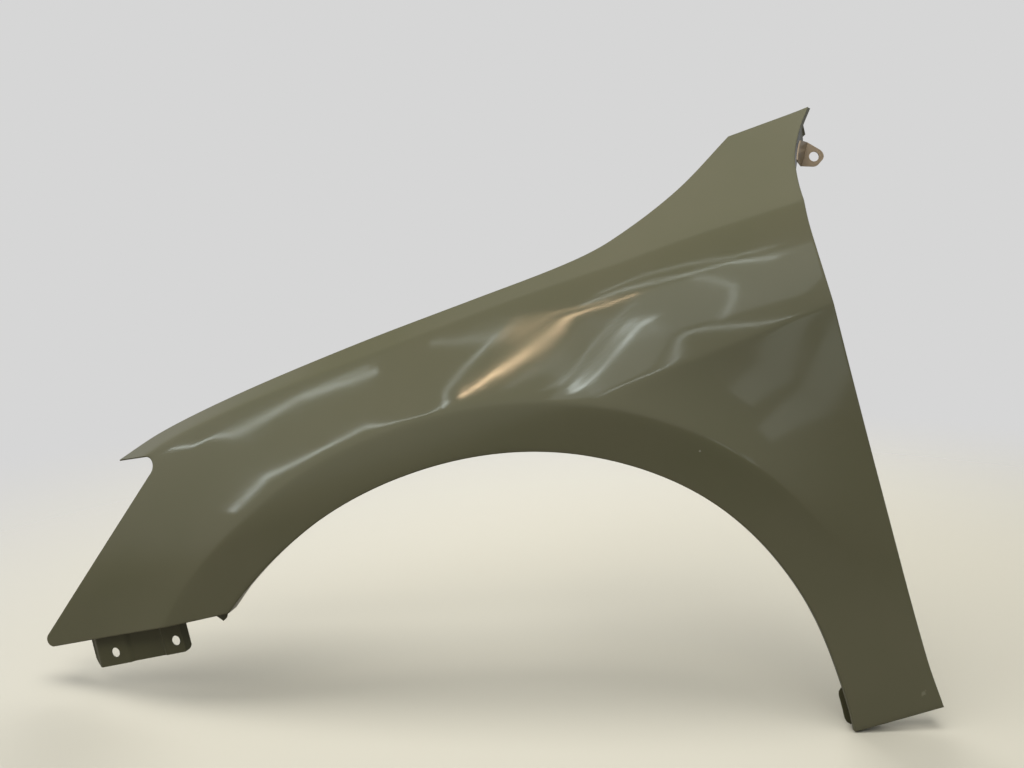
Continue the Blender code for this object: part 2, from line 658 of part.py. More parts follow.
def build_front_bracket(parts, cutters, material, frame):
    """Pressed plate with two raised pads, end returns and a ledge under the bumper flange."""
    rear = arch_end(FRONT_BOTTOM, behind=False) - FRONT_BRACKET_TO_ARCH
    front = rear - FRONT_BRACKET_RUN
    along = Vector((cos(FRONT_BRACKET_TURN), -sin(FRONT_BRACKET_TURN), 0.0))
    inward = Vector((sin(FRONT_BRACKET_TURN), cos(FRONT_BRACKET_TURN), 0.0))
    length = FRONT_BRACKET_RUN / along.x
    top = FRONT_BOTTOM - WELD_GAP
    start = Vector((front, depth(front, FRONT_BOTTOM) + FRONT_BRACKET_INSET, top))
    (pad1_start, pad1_end), (pad2_start, pad2_end) = FRONT_BRACKET_PADS
    profile = ((0.0, FRONT_BRACKET_RETURN), (pad1_start, 0.0), (pad1_end, 0.0),
               (pad1_end + FRONT_BRACKET_STEP_RUN, FRONT_BRACKET_STEP),
               (pad2_start - FRONT_BRACKET_STEP_RUN, FRONT_BRACKET_STEP),
               (pad2_start, 0.0), (pad2_end, 0.0), (length, FRONT_BRACKET_RETURN))
    fold = [start + along * s + inward * back for s, back in profile]
    ledge = [start + along * s + inward * FRONT_BRACKET_LEDGE for s, _ in profile]
    drop = Vector((0.0, 0.0, -FRONT_BRACKET_HEIGHT))
    bm = bmesh.new()
    grid = add_sheet(bm, [[point + drop for point in fold], fold, ledge])
    round_corners(bm, [grid[0][0], grid[0][-1]], FRONT_BRACKET_CORNER)
    turn_outward(bm, (0.0, -1.0, 0.0))
    holes = []
    for number, (low, high) in enumerate(FRONT_BRACKET_PADS, 1):
        place = start + along * (low + high) / 2 - Vector((0.0, 0.0, FRONT_BRACKET_HOLE_DROP))
        holes.append(add_cutter(f"bumper_hole_{number}", place, inward,
                                FRONT_BRACKET_HOLE_RADIUS, cutters, frame))
    return finish(bm, "front_lower_bracket", parts, material, frame, BRACKET_GAUGE, holes)


def build_pillar_bracket(parts, cutters, material, frame):
    """A leg on the sail's leaning flange, folded into the plate that meets the pillar."""
    edge = []
    for t in shares(PILLAR_ROWS):
        z = COWL_END[1] - blend(*PILLAR_LEG_DROP, t)
        slant = (door_edge(z + EDGE_BEND) - door_edge(z - EDGE_BEND)) / (2 * EDGE_BEND)
        x = door_edge(z) + EDGE_BEND * (hypot(1.0, slant) - 1.0)
        lean = Vector((sail_lean(z), 1.0, 0.0))
        gap = Vector((lean.y, -lean.x, 0.0)).normalized() * PILLAR_LEG_GAP
        edge.append((Vector((x, depth(x - EDGE_BEND, z) + EDGE_BEND, z)) + gap, lean))
    plate_y = max(point.y for point, _ in edge) + PILLAR_LEG
    bm = bmesh.new()
    grid = add_sheet(bm, [[point + lean * PILLAR_LEG_START, point + lean * (plate_y - point.y)]
                          for point, lean in edge])
    foot = grid[0][1].co.copy()

    def on_plate(place):
        return foot + Vector((place[0], 0.0, place[1]))

    plate = [bm.verts.new(on_plate(place)) for place in PILLAR_PLATE]
    bm.faces.new([row[1] for row in grid][::-1] + plate)
    round_corners(bm, plate + [grid[0][0], grid[-1][0]], PILLAR_CORNER)
    turn_outward(bm, (0.0, 1.0, 0.0))
    hole = add_cutter("pillar_hole", on_plate(PILLAR_HOLE), (0, 1, 0), PILLAR_HOLE_RADIUS,
                      cutters, frame)
    return finish(bm, "rear_upper_bracket", parts, material, frame, BRACKET_GAUGE, [hole])


def build_sill_bracket(parts, cutters, material, frame):
    """Upright plate behind the foot of the skin, on a ledge over the foot flange."""
    low = arch_end(LEG_BOTTOM, behind=True) - SILL_BRACKET_SHOWS
    high = door_edge(LEG_BOTTOM) - SILL_BRACKET_INSET[0]
    ledge_start = low + FOOT_FLANGE_RUN[1]
    fold = LEG_BOTTOM + SKIN_GAUGE + WELD_GAP
    y = depth(high, LEG_BOTTOM) + EDGE_BEND + SILL_BRACKET_INSET[1]
    columns = (low, ledge_start, high)
    bm = bmesh.new()
    grid = add_sheet(bm, [[(x, y, fold) for x in columns],
                          [(x, y, fold + SILL_BRACKET_HEIGHT) for x in columns]])
    extrude_chain(bm, grid[0][1:], [(0.0, -SILL_LEDGE_WIDTH, 0.0)] * 2)
    round_corners(bm, [grid[0][0], grid[1][0], grid[1][-1]], SILL_BRACKET_CORNER)
    turn_outward(bm, (0.0, 1.0, 0.0))
    place = Vector(((low + high) / 2, y, fold + SILL_BRACKET_HEIGHT / 2))
    hole = add_cutter("sill_hole", place, (0, 1, 0), SILL_HOLE_RADIUS, cutters, frame)
    return finish(bm, "rear_lower_bracket", parts, material, frame, BRACKET_GAUGE, [hole])


def build_liner_tab(parts, material, frame):
    """Small hook under the bumper flange, with its own ledge against the flange."""
    top = FRONT_BOTTOM - WELD_GAP
    end = arch_end(FRONT_BOTTOM, behind=False)
    y = depth(end, FRONT_BOTTOM) + LINER_TAB_INSET
    bm = bmesh.new()
    hook = [bm.verts.new((end - ahead, y, top - drop)) for ahead, drop in LINER_TAB]
    bm.faces.new(hook)
    extrude_chain(bm, [hook[-1], hook[0]], [(0.0, LINER_TAB_LEDGE, 0.0)] * 2)
    turn_outward(bm, (0.0, -1.0, 0.0))
    return finish(bm, "arch_liner_tab", parts, material, frame, LINER_TAB_GAUGE, [])


def coating(name, color, roughness):
    """Primer over steel, in the part's own colour."""
    material = bpy.data.materials.new(name)
    material.use_nodes = True
    shader = material.node_tree.nodes["Principled BSDF"]
    shader.inputs["Base Color"].default_value = (*color, 1.0)
    shader.inputs["Roughness"].default_value = roughness
    shader.inputs["Metallic"].default_value = 0.0
    return material


def main():
    for obj in list(bpy.data.objects):
        bpy.data.objects.remove(obj, do_unlink=True)
    parts = bpy.data.collections.new("car_fender")
    cutters = bpy.data.collections.new("cutters")
    for collection in (parts, cutters):
        bpy.context.scene.collection.children.link(collection)
    frame = bpy.data.objects.new("fender_frame", None)
    parts.objects.link(frame)
    frame.location = -seat_place(ORIGIN_SEAT_INDEX)

    build_skin(parts, cutters, coating("olive_primer", (0.15, 0.14, 0.09), 0.35), frame)
    build_front_bracket(parts, cutters, coating("dark_primer", (0.07, 0.07, 0.045), 0.45), frame)
    build_pillar_bracket(parts, cutters, coating("bronze_primer", (0.21, 0.16, 0.11), 0.4), frame)
    build_sill_bracket(parts, cutters, coating("foot_primer", (0.12, 0.11, 0.07), 0.45), frame)
    build_liner_tab(parts, coating("tab_primer", (0.14, 0.13, 0.085), 0.4), frame)


main()
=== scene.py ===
"""Looks of a left front fender: pressed steel in olive electro-dipped primer, with its brackets.

The shapes are in the car's directions from the wheel centre (x rearward, y inboard, z up) and
are moved by PART_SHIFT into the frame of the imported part. Lengths are metres.
"""

from math import atan2, cos, degrees, hypot, pi, radians, sin, sqrt, tan

import bmesh
import bpy
from mathutils import Matrix, Vector


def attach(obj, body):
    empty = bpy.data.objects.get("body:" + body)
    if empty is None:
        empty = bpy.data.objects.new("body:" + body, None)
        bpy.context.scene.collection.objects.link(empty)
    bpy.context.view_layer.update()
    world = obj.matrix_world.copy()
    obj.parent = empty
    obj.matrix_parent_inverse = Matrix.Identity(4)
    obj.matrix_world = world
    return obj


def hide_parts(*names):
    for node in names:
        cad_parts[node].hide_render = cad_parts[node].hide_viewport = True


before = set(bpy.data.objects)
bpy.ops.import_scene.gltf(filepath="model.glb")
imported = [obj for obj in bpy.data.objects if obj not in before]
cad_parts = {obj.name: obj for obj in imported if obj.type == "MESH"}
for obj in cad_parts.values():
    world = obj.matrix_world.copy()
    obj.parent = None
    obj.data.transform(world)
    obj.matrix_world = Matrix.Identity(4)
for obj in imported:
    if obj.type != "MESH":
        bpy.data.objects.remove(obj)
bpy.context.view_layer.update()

# The wheel centre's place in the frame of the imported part
PART_SHIFT = Vector((-0.031711, -0.077633, -0.487712))

# Sheet metal
SKIN_GAUGE = 0.0008
BRACKET_GAUGE = 0.0015
EDGE_BEND = 0.0015           # outer radius where an edge turns into its flange
WELD_GAP = 0.0003

# Wheel arch; its angles are degrees, from straight rearward (0) over the crown (90)
ARCH_RADIUS = 0.3512
ARCH_SWELL = (               # (angle, what the radius grows by)
    (-8, 0.0066), (5, 0.0032), (20, 0.0062), (41, 0.0090), (64, 0.0048),
    (94, 0.0), (117, 0.0038), (129, 0.0086), (138, 0.0150),
)
BAND_WIDTH = 0.051           # of the flat band at the crown
BAND_GROWTH = 0.010          # what it widens by toward front and rear
BAND_TURN_IN = 0.10          # inboard for each metre toward the arch
FLARE_RISE = 0.010           # how far the side swells outward beside the band
FLARE_REACH = 0.095
FLARE_FADE = (8, 43)         # angles where band and flare begin and are full
BAND_CREASE_ROUND = 0.0035   # half width over which a pressed crease is rounded
SHOULDER_CREASE_ROUND = 0.0021

# Outline
FRONT_BOTTOM = 0.250
FRONT_EDGE_ANGLE = radians(41.1)
FRONT_EDGE_BOW = 0.0032
CORNER_RADIUS = 0.0085
NOTCH_CENTRE = (-0.341, 0.4275)
NOTCH_RADIUS = 0.0115
SPIKE_TIP = (-0.386, 0.4445)
COWL_END = (0.5345, 0.6540)
COWL_RUN = (0.1065, 0.0116)
SHOULDER_END = (0.458, 0.5315)
LEG_BOTTOM = -0.035
SHOULDER_SHAPE = (           # shares of the span between two ends: (along, up)
    (0.0300, 0.0824), (0.0826, 0.1868), (0.1840, 0.3297), (0.3367, 0.4725),
    (0.4731, 0.6099), (0.6020, 0.7308), (0.7134, 0.8077), (0.8473, 0.9176),
)
HOOD_SHAPE = (
    (0.0737, 0.0935), (0.2015, 0.1895), (0.3808, 0.2855), (0.5651, 0.3664),
    (0.7027, 0.4320), (0.7740, 0.5028), (0.8882, 0.7105),
)
SAIL_SHAPE = ((0.1420, 0.2600), (0.3360, 0.5100), (0.6560, 0.7760))
DOOR_EDGE = (                # (height, place)
    (LEG_BOTTOM, 0.4550), (0.020, 0.4500), (0.166, 0.4470), (0.415, 0.4470), (0.492, 0.4510),
)
WAIST_START = (0.193, 0.379)   # of the crease from the arch to the door edge
WAIST_SLOPE = 0.132

# Depth of the panel; a fall is (run, how far inboard the surface goes over it)
PLAN_START = 0.050
PLAN_FRONT = (0.500, 0.0865)
PLAN_REAR = (0.400, 0.0089)
TUCK_START = 0.350           # height below which the side tucks in
TUCK = (0.385, 0.0050)
LEAN_SLOPE = 0.15            # above the waist crease the side leans in
LEAN_RADIUS = 0.384
WAIST_SHARP = 0.003          # half widths of the waist crease's rounding, behind and ahead
WAIST_SOFT = 0.040
WAIST_FADE = (0.060, 0.260)
TOP_SLOPE = 0.95             # above the shoulder crease, inboard for each metre up
TOP_SLOPE_GAIN = 0.55        # added toward the front
TOP_SLOPE_RUN = 0.300
CURL_RISE = 0.004            # the sail curls outward along its rear edge
CURL_WIDTH = 0.026
CURL_HEIGHTS = (0.560, 0.630)

# Edge flanges: how deep each is inboard, and where one depth changes to the next
LEG_FLANGE = 0.006
ARCH_FLANGE = 0.012
ARCH_FLANGE_FADE = (10, 60)
BUMPER_FLANGE = 0.026
BUMPER_FLANGE_FADE = (130, 136)
LAMP_FLANGE = 0.014
LAMP_FLANGE_RUN = 0.040
NOTCH_FLANGE = 0.007
SPIKE_FLANGE = 0.003
FOOT_FLANGE = 0.020
FOOT_FLANGE_RUN = (0.002, 0.020)
DOOR_FLANGE = 0.011
SAIL_FLANGE = 0.020
SAIL_FLANGE_HEIGHTS = (0.540, 0.580)
SAIL_FLANGE_LEAN = 0.84      # rearward for its depth
SAIL_LEAN_HEIGHTS = (0.520, 0.640)
SAIL_TIP_FLANGE = 0.005
SAIL_TIP_RUN = (0.026, 0.046)

# Hood-side flange: a wall down from the hood edge and a ledge with bolt seats at its foot
WALL_HEIGHT = 0.024
WALL_LEAN = 0.002
HOOD_BEND = (0.0015, 0.0010)   # inboard and down
HOOD_BEND_STEPS = 3
LEDGE_WIDTH = 0.024
LEDGE_ENDS = (0.068, 0.0105)   # how far it stops short of the panel's ends, front and rear
LEDGE_RUN_IN = 0.040
WALL_START_HEIGHT = 0.007
SEATS = (-0.2682, -0.1182, 0.0317, 0.2031, 0.3316, 0.4718)
ORIGIN_SEAT_INDEX = 2
SEAT_HALF = 0.013
ORIGIN_SEAT_HALF = 0.034
HOLE_RADIUS = 0.0045
HOLE_SPREAD = 0.018          # of the two holes in the origin seat, from its middle
HOLE_SIDES = 48
CUTTER_REACH = 0.008

# Front lower bracket
FRONT_BRACKET_RUN = 0.128
FRONT_BRACKET_TO_ARCH = 0.0685
FRONT_BRACKET_INSET = 0.010
FRONT_BRACKET_TURN = radians(14.9)
FRONT_BRACKET_HEIGHT = 0.036
FRONT_BRACKET_LEDGE = 0.012
FRONT_BRACKET_FORM = (        # (along, inboard): end returns, two pads and the step between them
    (0.0, 0.0080), (0.0145, 0.0), (0.053, 0.0), (0.059, 0.0025),
    (0.0990, 0.0025), (0.1040, 0.0), (0.1290, 0.0), (0.1325, 0.0080),
)
FRONT_BRACKET_CORNERS = (0.011, 0.005)   # its lower corners, front and rear
FRONT_BRACKET_HOLES = ((0.0358, 0.0215), (0.1195, 0.0215))   # (along, down)
FRONT_BRACKET_HOLE_RADIUS = 0.0056
FRONT_BRACKET_BEND = 0.0022
FRONT_BRACKET_COLUMNS = 120
FRONT_BRACKET_ROWS = (12, 5, 4)          # of its plate, its fold and its ledge

# Grid of the pressing: cells along each stretch
BAND_ROWS = 12
SIDE_ROWS = 46
TOP_ROWS = 30
CORNER_CELLS = 10
FRONT_CELLS = 40
NOTCH_CELLS = 12
SHOULDER_CELLS = 170
COWL_CELLS = 22
DOOR_UPPER_CELLS = 40
DOOR_LOWER_CELLS = 104
BEND_STEPS = 4
ANGLE_TO_NOTCH = 9           # degrees of the arch that stand for the front edge
ANGLE_AT_SHOULDER = 72
ANGLE_AT_WAIST = degrees(atan2(WAIST_START[1], WAIST_START[0]))
SEAM_RUN = 0.050
SAIL_RUN = 0.120
BORDER_BAND = 0.010          # a border vertex belongs to an edge within this distance
MITRE_LIMIT = 0.6
SEARCH_ROUNDS = 40
CREASE_CROWDING = 0.75       # how much closer the rows lie beside a crease
SHARP_ANGLE = radians(35)

# Primer film; its patterns' sizes are millimetres
PATCH_MM = 140
HAZE_MM = 45
PEEL_MM = 1.6
PEEL_HEIGHT = 0.0002
BRACKET_PEEL = 0.035         # strengths of the orange peel
SKIN_PEEL = 0.02
NOISE_SPAN = (0.30, 0.70)    # between these a noise pattern goes from none to full
SKIN_ROUGHNESS = 0.07
BRACKET_ROUGHNESS = 0.33
BRONZE_ROUGHNESS = 0.30
GLOSS_SPREAD = 0.02          # what the roughness varies by
PRIMER_IOR = 1.5
MARK_GRAIN = 0.4             # how coarse a mark's ragged edge is, as a share of its width
SKIN_MARKS = (               # (place, width, colour): a scuff near the foot, a speck of dust
    ((0.4367, -0.0142), 0.0050, "77745f"),
    ((0.2669, 0.2978), 0.0022, "8b8879"),
)

# Camera
PHOTO_UP = Vector((0.2504, 0.0, 0.9681))      # the fender leans forward in the photograph
PHOTO_RIGHT = Vector((0.9681, 0.0, -0.2504))
CAMERA_PLACE = Vector((0.0630, -0.9706, -0.0732))
FOCAL_PIXELS = 850.5
PHOTO_WIDTH = 1024
SENSOR_MM = 36.0

# Floor
FLOOR_FOOT = Vector((0.325, -0.07, -0.5225))   # at the foot of the rear leg
FLOOR_GAP = 0.002
FLOOR_LEAN = radians(8)       # the camera looks down by this much
FLOOR_RADIUS = 2.6
FLOOR_SIDES = 96
FLOOR_FADE = (0.55, 2.2)
FLOOR_ROUGHNESS = 0.7
FLOOR_COLOURS = ("7d7869", "bdb8a8")   # as the fender is lit by it, and as the camera sees it
WALL_COLOUR = "d6d6d6"

# Lights; directions are (azimuth, elevation) in degrees, as toward() gives them
ROOM = 9.0                    # distance of the lights that are seen mirrored
ROOM_STRENGTHS = (0.86, 0.52)   # at the left and right end of the room
ROOM_COLOURS = (              # up from straight down (0) over the horizon (0.5) to straight up (1)
    (0.30, "625f55"), (0.47, "827f78"), (0.54, "a8aaaa"), (0.74, "bcbfc3"), (0.85, "9b9fa3"),
    (0.885, "63686d"), (0.93, "5f6468"), (0.97, "9aa1a6"),
)
LIT_PLACE = Vector((0.0, 0.0, -0.15))   # what the soft lights face: the fender's middle
# Name, direction, distance, shift to the right, size, watts, and whether it is seen mirrored:
# the ceiling is split so that the shoulder crease mirrors only a part of it
SOFT_LIGHTS = (
    ("ceiling_soft", (0, 77), 3.0, -0.4, (3.6, 1.6), 64.0, False),
    ("ceiling_glow", (0, 77), 3.0, -0.4, (3.6, 1.6), 50.0, True),
    ("front_soft", (-12, 42), 3.2, 0.0, (2.4, 1.4), 28.0, False),
    ("back_soft", (180, 28), 3.0, 0.0, (3.2, 2.0), 90.0, False),
)
WHITE = (1.0, 1.0, 1.0)
WARM = (1.0, 0.70, 0.42)
COOL = (0.90, 1.0, 0.98)
# Lamps of the room as the primer mirrors them: a line of directions, its width in degrees,
# radiance and colour
LAMP_LINES = (
    (((-25, 44), (-19.5, 45.5), (-15.4, 45.4)), 0.4, 42.0, WARM),
    (((-15.4, 45.4), (-11.5, 44.9), (-7.7, 44.8), (-3.2, 45.4)), 0.25, 38.0, WARM),
    (((-23.4, 48.8), (-17.8, 47.2), (-12.4, 46.6), (-7, 46.2)), 0.25, 12.0, WARM),
    (((-26.7, 40), (-29.8, 44.7), (-26.8, 47.1), (-24, 48.8)), 0.4, 6.0, COOL),
    (((-15.1, 43.1), (-12.4, 43.3), (-8.7, 42.4), (-5.5, 40.4), (-4, 38.4), (-2.8, 43)),
     0.25, 4.0, COOL),
    (((-1.7, 37.4), (0.1, 34.7), (1.8, 36.2)), 0.9, 9.0, COOL),
    (((-7.1, 39.5), (-3.2, 39), (0.7, 36.4), (3.5, 32.4), (5.8, 28)), 0.3, 3.0, COOL),
    (((5.8, 28), (9.5, 26.8), (20.2, 18.6)), 0.4, 6.0, COOL),
    (((-38.6, 49.2), (-29.5, 49.7), (-21.6, 48.2)), 0.3, 4.0, COOL),
    (((-11.5, 47), (-6.5, 48.2), (-3.1, 47.8), (4.5, 46.1), (8.3, 45.7), (15, 41.7)),
     0.4, 8.0, COOL),
    (((-10.4, 49.3), (-4.2, 50.9), (2.7, 49.7), (7.8, 47.5), (14.3, 45.5)), 0.3, 5.0, COOL),
    (((4.8, 44.5), (7.8, 41.3), (10.4, 37.5), (11.2, 33), (11.2, 28)), 0.4, 4.5, COOL),
    (((-73.8, 22), (-69, 22.6), (-65.1, 25.9), (-62.8, 31), (-60, 35.8), (-54.9, 40),
      (-48.5, 44.1)), 0.4, 9.0, COOL),
    (((-59.6, 36.5), (-55.4, 40.9), (-50.8, 44)), 0.3, 5.0, COOL),
    (((-62.2, 12.4), (-60.1, 21.9), (-56.8, 26.2), (-46.3, 36.8), (-30.7, 38), (-27.7, 43.3)),
     0.6, 7.5, COOL),
    (((-4, 38), (22, 34)), 15.0, 0.75, COOL),
    (((25, 8), (22.5, 0)), 3.0, 0.6, COOL),
    (((31, 8), (26, -1)), 3.0, 0.6, COOL),
)


# Small helpers

def smooth_step(value, low, high):
    t = min(max((value - low) / (high - low), 0.0), 1.0)
    return t * t * (3.0 - 2.0 * t)


def smooth_ramp(value, half_width):
    """Nothing below zero and the value above it, rounded where they meet."""
    return 0.5 * (value + sqrt(value * value + half_width * half_width))


def blend(start, end, t):
    return start + (end - start) * t


def curve_value(knots, place):
    """Smooth curve through (place, value) knots, straight past its ends."""
    count = len(knots)

    def slope(i):
        low, high = max(i - 1, 0), min(i + 1, count - 1)
        return (knots[high][1] - knots[low][1]) / (knots[high][0] - knots[low][0])

    if place <= knots[0][0]:
        return knots[0][1] + slope(0) * (place - knots[0][0])
    if place >= knots[-1][0]:
        return knots[-1][1] + slope(count - 1) * (place - knots[-1][0])
    i = max(k for k in range(count - 1) if knots[k][0] <= place)
    (x0, y0), (x1, y1) = knots[i], knots[i + 1]
    length = x1 - x0
    t = (place - x0) / length
    return (y0 * (1 + 2 * t) * (1 - t) ** 2 + slope(i) * length * t * (1 - t) ** 2
            + y1 * t * t * (3 - 2 * t) - slope(i + 1) * length * t * t * (1 - t))


def curve_between(start, end, shape):
    middle = [(blend(start[0], end[0], a), blend(start[1], end[1], b)) for a, b in shape]
    return (start, *middle, end)


def shares(count, crowd_start=0.0, crowd_end=0.0):
    """0 to 1 in count steps, which can lie closer at either end."""
    result = []
    for i in range(count + 1):
        t = i / count
        early = t - crowd_start * (t - t * t) * (1 - t)
        result.append(early + crowd_end * (1 - early) * early * early)
    return result


def fall(run, rule):
    """A curved fall: rule is (run, how far it falls over it)."""
    return rule[1] * (run / rule[0]) ** 2


# Lines of the panel, seen from the side

NOTCH_TOP = (NOTCH_CENTRE[0], NOTCH_CENTRE[1] + NOTCH_RADIUS + EDGE_BEND)
NOTCH_REAR = (NOTCH_CENTRE[0] + NOTCH_RADIUS + EDGE_BEND, NOTCH_CENTRE[1])
COWL_CORNER = (COWL_END[0] - COWL_RUN[0], COWL_END[1] - COWL_RUN[1])
SHOULDER_CREASE = curve_between(NOTCH_TOP, SHOULDER_END, SHOULDER_SHAPE)
HOOD_EDGE = curve_between(SPIKE_TIP, COWL_CORNER, HOOD_SHAPE)
SAIL_EDGE = curve_between(SHOULDER_END, COWL_END, SAIL_SHAPE)
REAR_EDGE = (*DOOR_EDGE, *((z, x) for x, z in SAIL_EDGE))


def arch_radius(angle):
    return ARCH_RADIUS + curve_value(ARCH_SWELL, angle)


def crease_radius(angle):
    return arch_radius(angle) + BAND_WIDTH + BAND_GROWTH * cos(radians(angle)) ** 2


def shoulder(x):
    return curve_value(SHOULDER_CREASE, x)


def hood_edge(x):
    if x <= COWL_CORNER[0]:
        return curve_value(HOOD_EDGE, x)
    return COWL_CORNER[1] + (x - COWL_CORNER[0]) * COWL_RUN[1] / COWL_RUN[0]


def door_edge(z):
    return curve_value(REAR_EDGE, z)


def seam(x):
    """Where the grids of side and top meet: from the rear of the notch onto the crease."""
    start = NOTCH_REAR[0]
    off_crease = shoulder(start) - NOTCH_REAR[1]
    return shoulder(x) - off_crease * (1 - smooth_step(x, start, start + SEAM_RUN))


def waist(x):
    return WAIST_START[1] + WAIST_SLOPE * (x - WAIST_START[0])


def depth(x, z):
    """Distance of the outer surface inboard from the plane of the arch's crown."""
    along = x - PLAN_START
    plan = fall(along, PLAN_FRONT if along < 0 else PLAN_REAR)
    tuck = fall(max(TUCK_START - z, 0.0), TUCK)

    over = smooth_ramp(z - shoulder(x), SHOULDER_CREASE_ROUND)
    rise = z - over - waist(x)
    half_width = blend(WAIST_SOFT, WAIST_SHARP, smooth_step(x, *WAIST_FADE))
    lean = LEAN_SLOPE * smooth_ramp(rise, half_width) + max(rise, 0.0) ** 2 / (2 * LEAN_RADIUS)

    angle = degrees(atan2(z, x))
    past_crease = hypot(x, z) - crease_radius(angle)
    strength = smooth_step(angle, *FLARE_FADE)
    outside = smooth_ramp(past_crease, BAND_CREASE_ROUND)
    inside = smooth_ramp(-past_crease, BAND_CREASE_ROUND)
    flare = FLARE_RISE * max(1 - outside / FLARE_REACH, 0.0) ** 2

    top = over * (TOP_SLOPE + TOP_SLOPE_GAIN * smooth_step(-x, 0.0, TOP_SLOPE_RUN))
    to_edge = door_edge(z) - x
    curl = (CURL_RISE * smooth_step(z, *CURL_HEIGHTS)
            * max(1 - max(to_edge, 0.0) / CURL_WIDTH, 0.0) ** 2)
    return plan + tuck + lean + strength * (BAND_TURN_IN * inside - flare) + top - curl


def on_panel(x, z):
    return Vector((x, depth(x, z), z))


def arch_end(height, behind):
    angle = angle_at_height(arch_radius, height, behind)
    return arch_radius(angle) * cos(radians(angle))


def angle_at_height(radius_at, height, behind):
    angle = 0.0 if behind else 180.0
    for _ in range(SEARCH_ROUNDS):
        share = height / radius_at(angle)
        angle = degrees(atan2(share, sqrt(1 - share * share)))
        angle = angle if behind else 180.0 - angle
    return angle


def arch_line(radius_at, anchors):
    points = []
    for (_, start), (parts, end) in zip(anchors, anchors[1:]):
        for t in parts[1 if points else 0:]:
            angle = blend(start, end, t)
            radius = radius_at(angle)
            points.append((radius * cos(radians(angle)), radius * sin(radians(angle))))
    return points


def arc(centre, radius, start, end, cells):
    return [(centre[0] + radius * cos(blend(start, end, t)),
             centre[1] + radius * sin(blend(start, end, t))) for t in shares(cells)]


def front_outline():
    bottom = FRONT_BOTTOM + EDGE_BEND
    notch_start = FRONT_EDGE_ANGLE - pi / 2
    notch = arc(NOTCH_CENTRE, NOTCH_RADIUS + EDGE_BEND, notch_start, 0.0, NOTCH_CELLS)
    radius = CORNER_RADIUS - EDGE_BEND
    x_on_bottom = notch[0][0] - (notch[0][1] - bottom) / tan(FRONT_EDGE_ANGLE)
    centre = (x_on_bottom + radius / tan(FRONT_EDGE_ANGLE / 2), bottom + radius)
    corner = arc(centre, radius, -pi / 2, -1.5 * pi + FRONT_EDGE_ANGLE, CORNER_CELLS)
    corner[-1] = (centre[0] - radius * sin(FRONT_EDGE_ANGLE),
                  centre[1] + radius * cos(FRONT_EDGE_ANGLE))
    edge = []
    for t in shares(FRONT_CELLS):
        bow = 4 * FRONT_EDGE_BOW * t * (1 - t)
        edge.append((blend(corner[-1][0], notch[0][0], t) + bow * sin(FRONT_EDGE_ANGLE),
                     blend(corner[-1][1], notch[0][1], t) - bow * cos(FRONT_EDGE_ANGLE)))
    return corner + edge[1:] + notch[1:]


def even_line(start, end, line, cells):
    return [(blend(start, end, t), line(blend(start, end, t))) for t in shares(cells)]


UPPER_PARTS = shares(DOOR_UPPER_CELLS, 0.0, CREASE_CROWDING)
LOWER_PARTS = shares(DOOR_LOWER_CELLS, CREASE_CROWDING, 0.0)


def outer_line():
    """Upper and outer border of the side: front edge, seam and door edge."""
    points = front_outline()
    points += even_line(NOTCH_REAR[0], SHOULDER_END[0] - EDGE_BEND, seam, SHOULDER_CELLS)[1:]
    waist_z = waist(door_edge(WAIST_START[1]))
    foot = LEG_BOTTOM + EDGE_BEND
    for low, high, parts in ((points[-1][1], waist_z, UPPER_PARTS),
                             (waist_z, foot, LOWER_PARTS)):
        points += [(door_edge(z) - EDGE_BEND, z) for z in (blend(low, high, t) for t in parts[1:])]
    return points


def arch_anchors(radius_at):
    front = angle_at_height(radius_at, FRONT_BOTTOM + EDGE_BEND, behind=False)
    rear = angle_at_height(radius_at, LEG_BOTTOM + EDGE_BEND, behind=True)
    return ((None, front), (shares(CORNER_CELLS + FRONT_CELLS + NOTCH_CELLS),
                            front - ANGLE_TO_NOTCH),
            (shares(SHOULDER_CELLS), ANGLE_AT_SHOULDER), (UPPER_PARTS, ANGLE_AT_WAIST),
            (LOWER_PARTS, rear))


def side_rows():
    def edge_radius(angle):
        return arch_radius(angle) + EDGE_BEND

    edge = arch_line(edge_radius, arch_anchors(edge_radius))
    crease = arch_line(crease_radius, arch_anchors(crease_radius))
    outer = outer_line()
    rows = []
    for t in shares(BAND_ROWS, 0.0, CREASE_CROWDING):
        rows.append([(blend(a[0], b[0], t), blend(a[1], b[1], t)) for a, b in zip(edge, crease)])
    for t in shares(SIDE_ROWS, CREASE_CROWDING, CREASE_CROWDING)[1:]:
        rows.append([(blend(a[0], b[0], t), blend(a[1], b[1], t)) for a, b in zip(crease, outer)])
    return rows


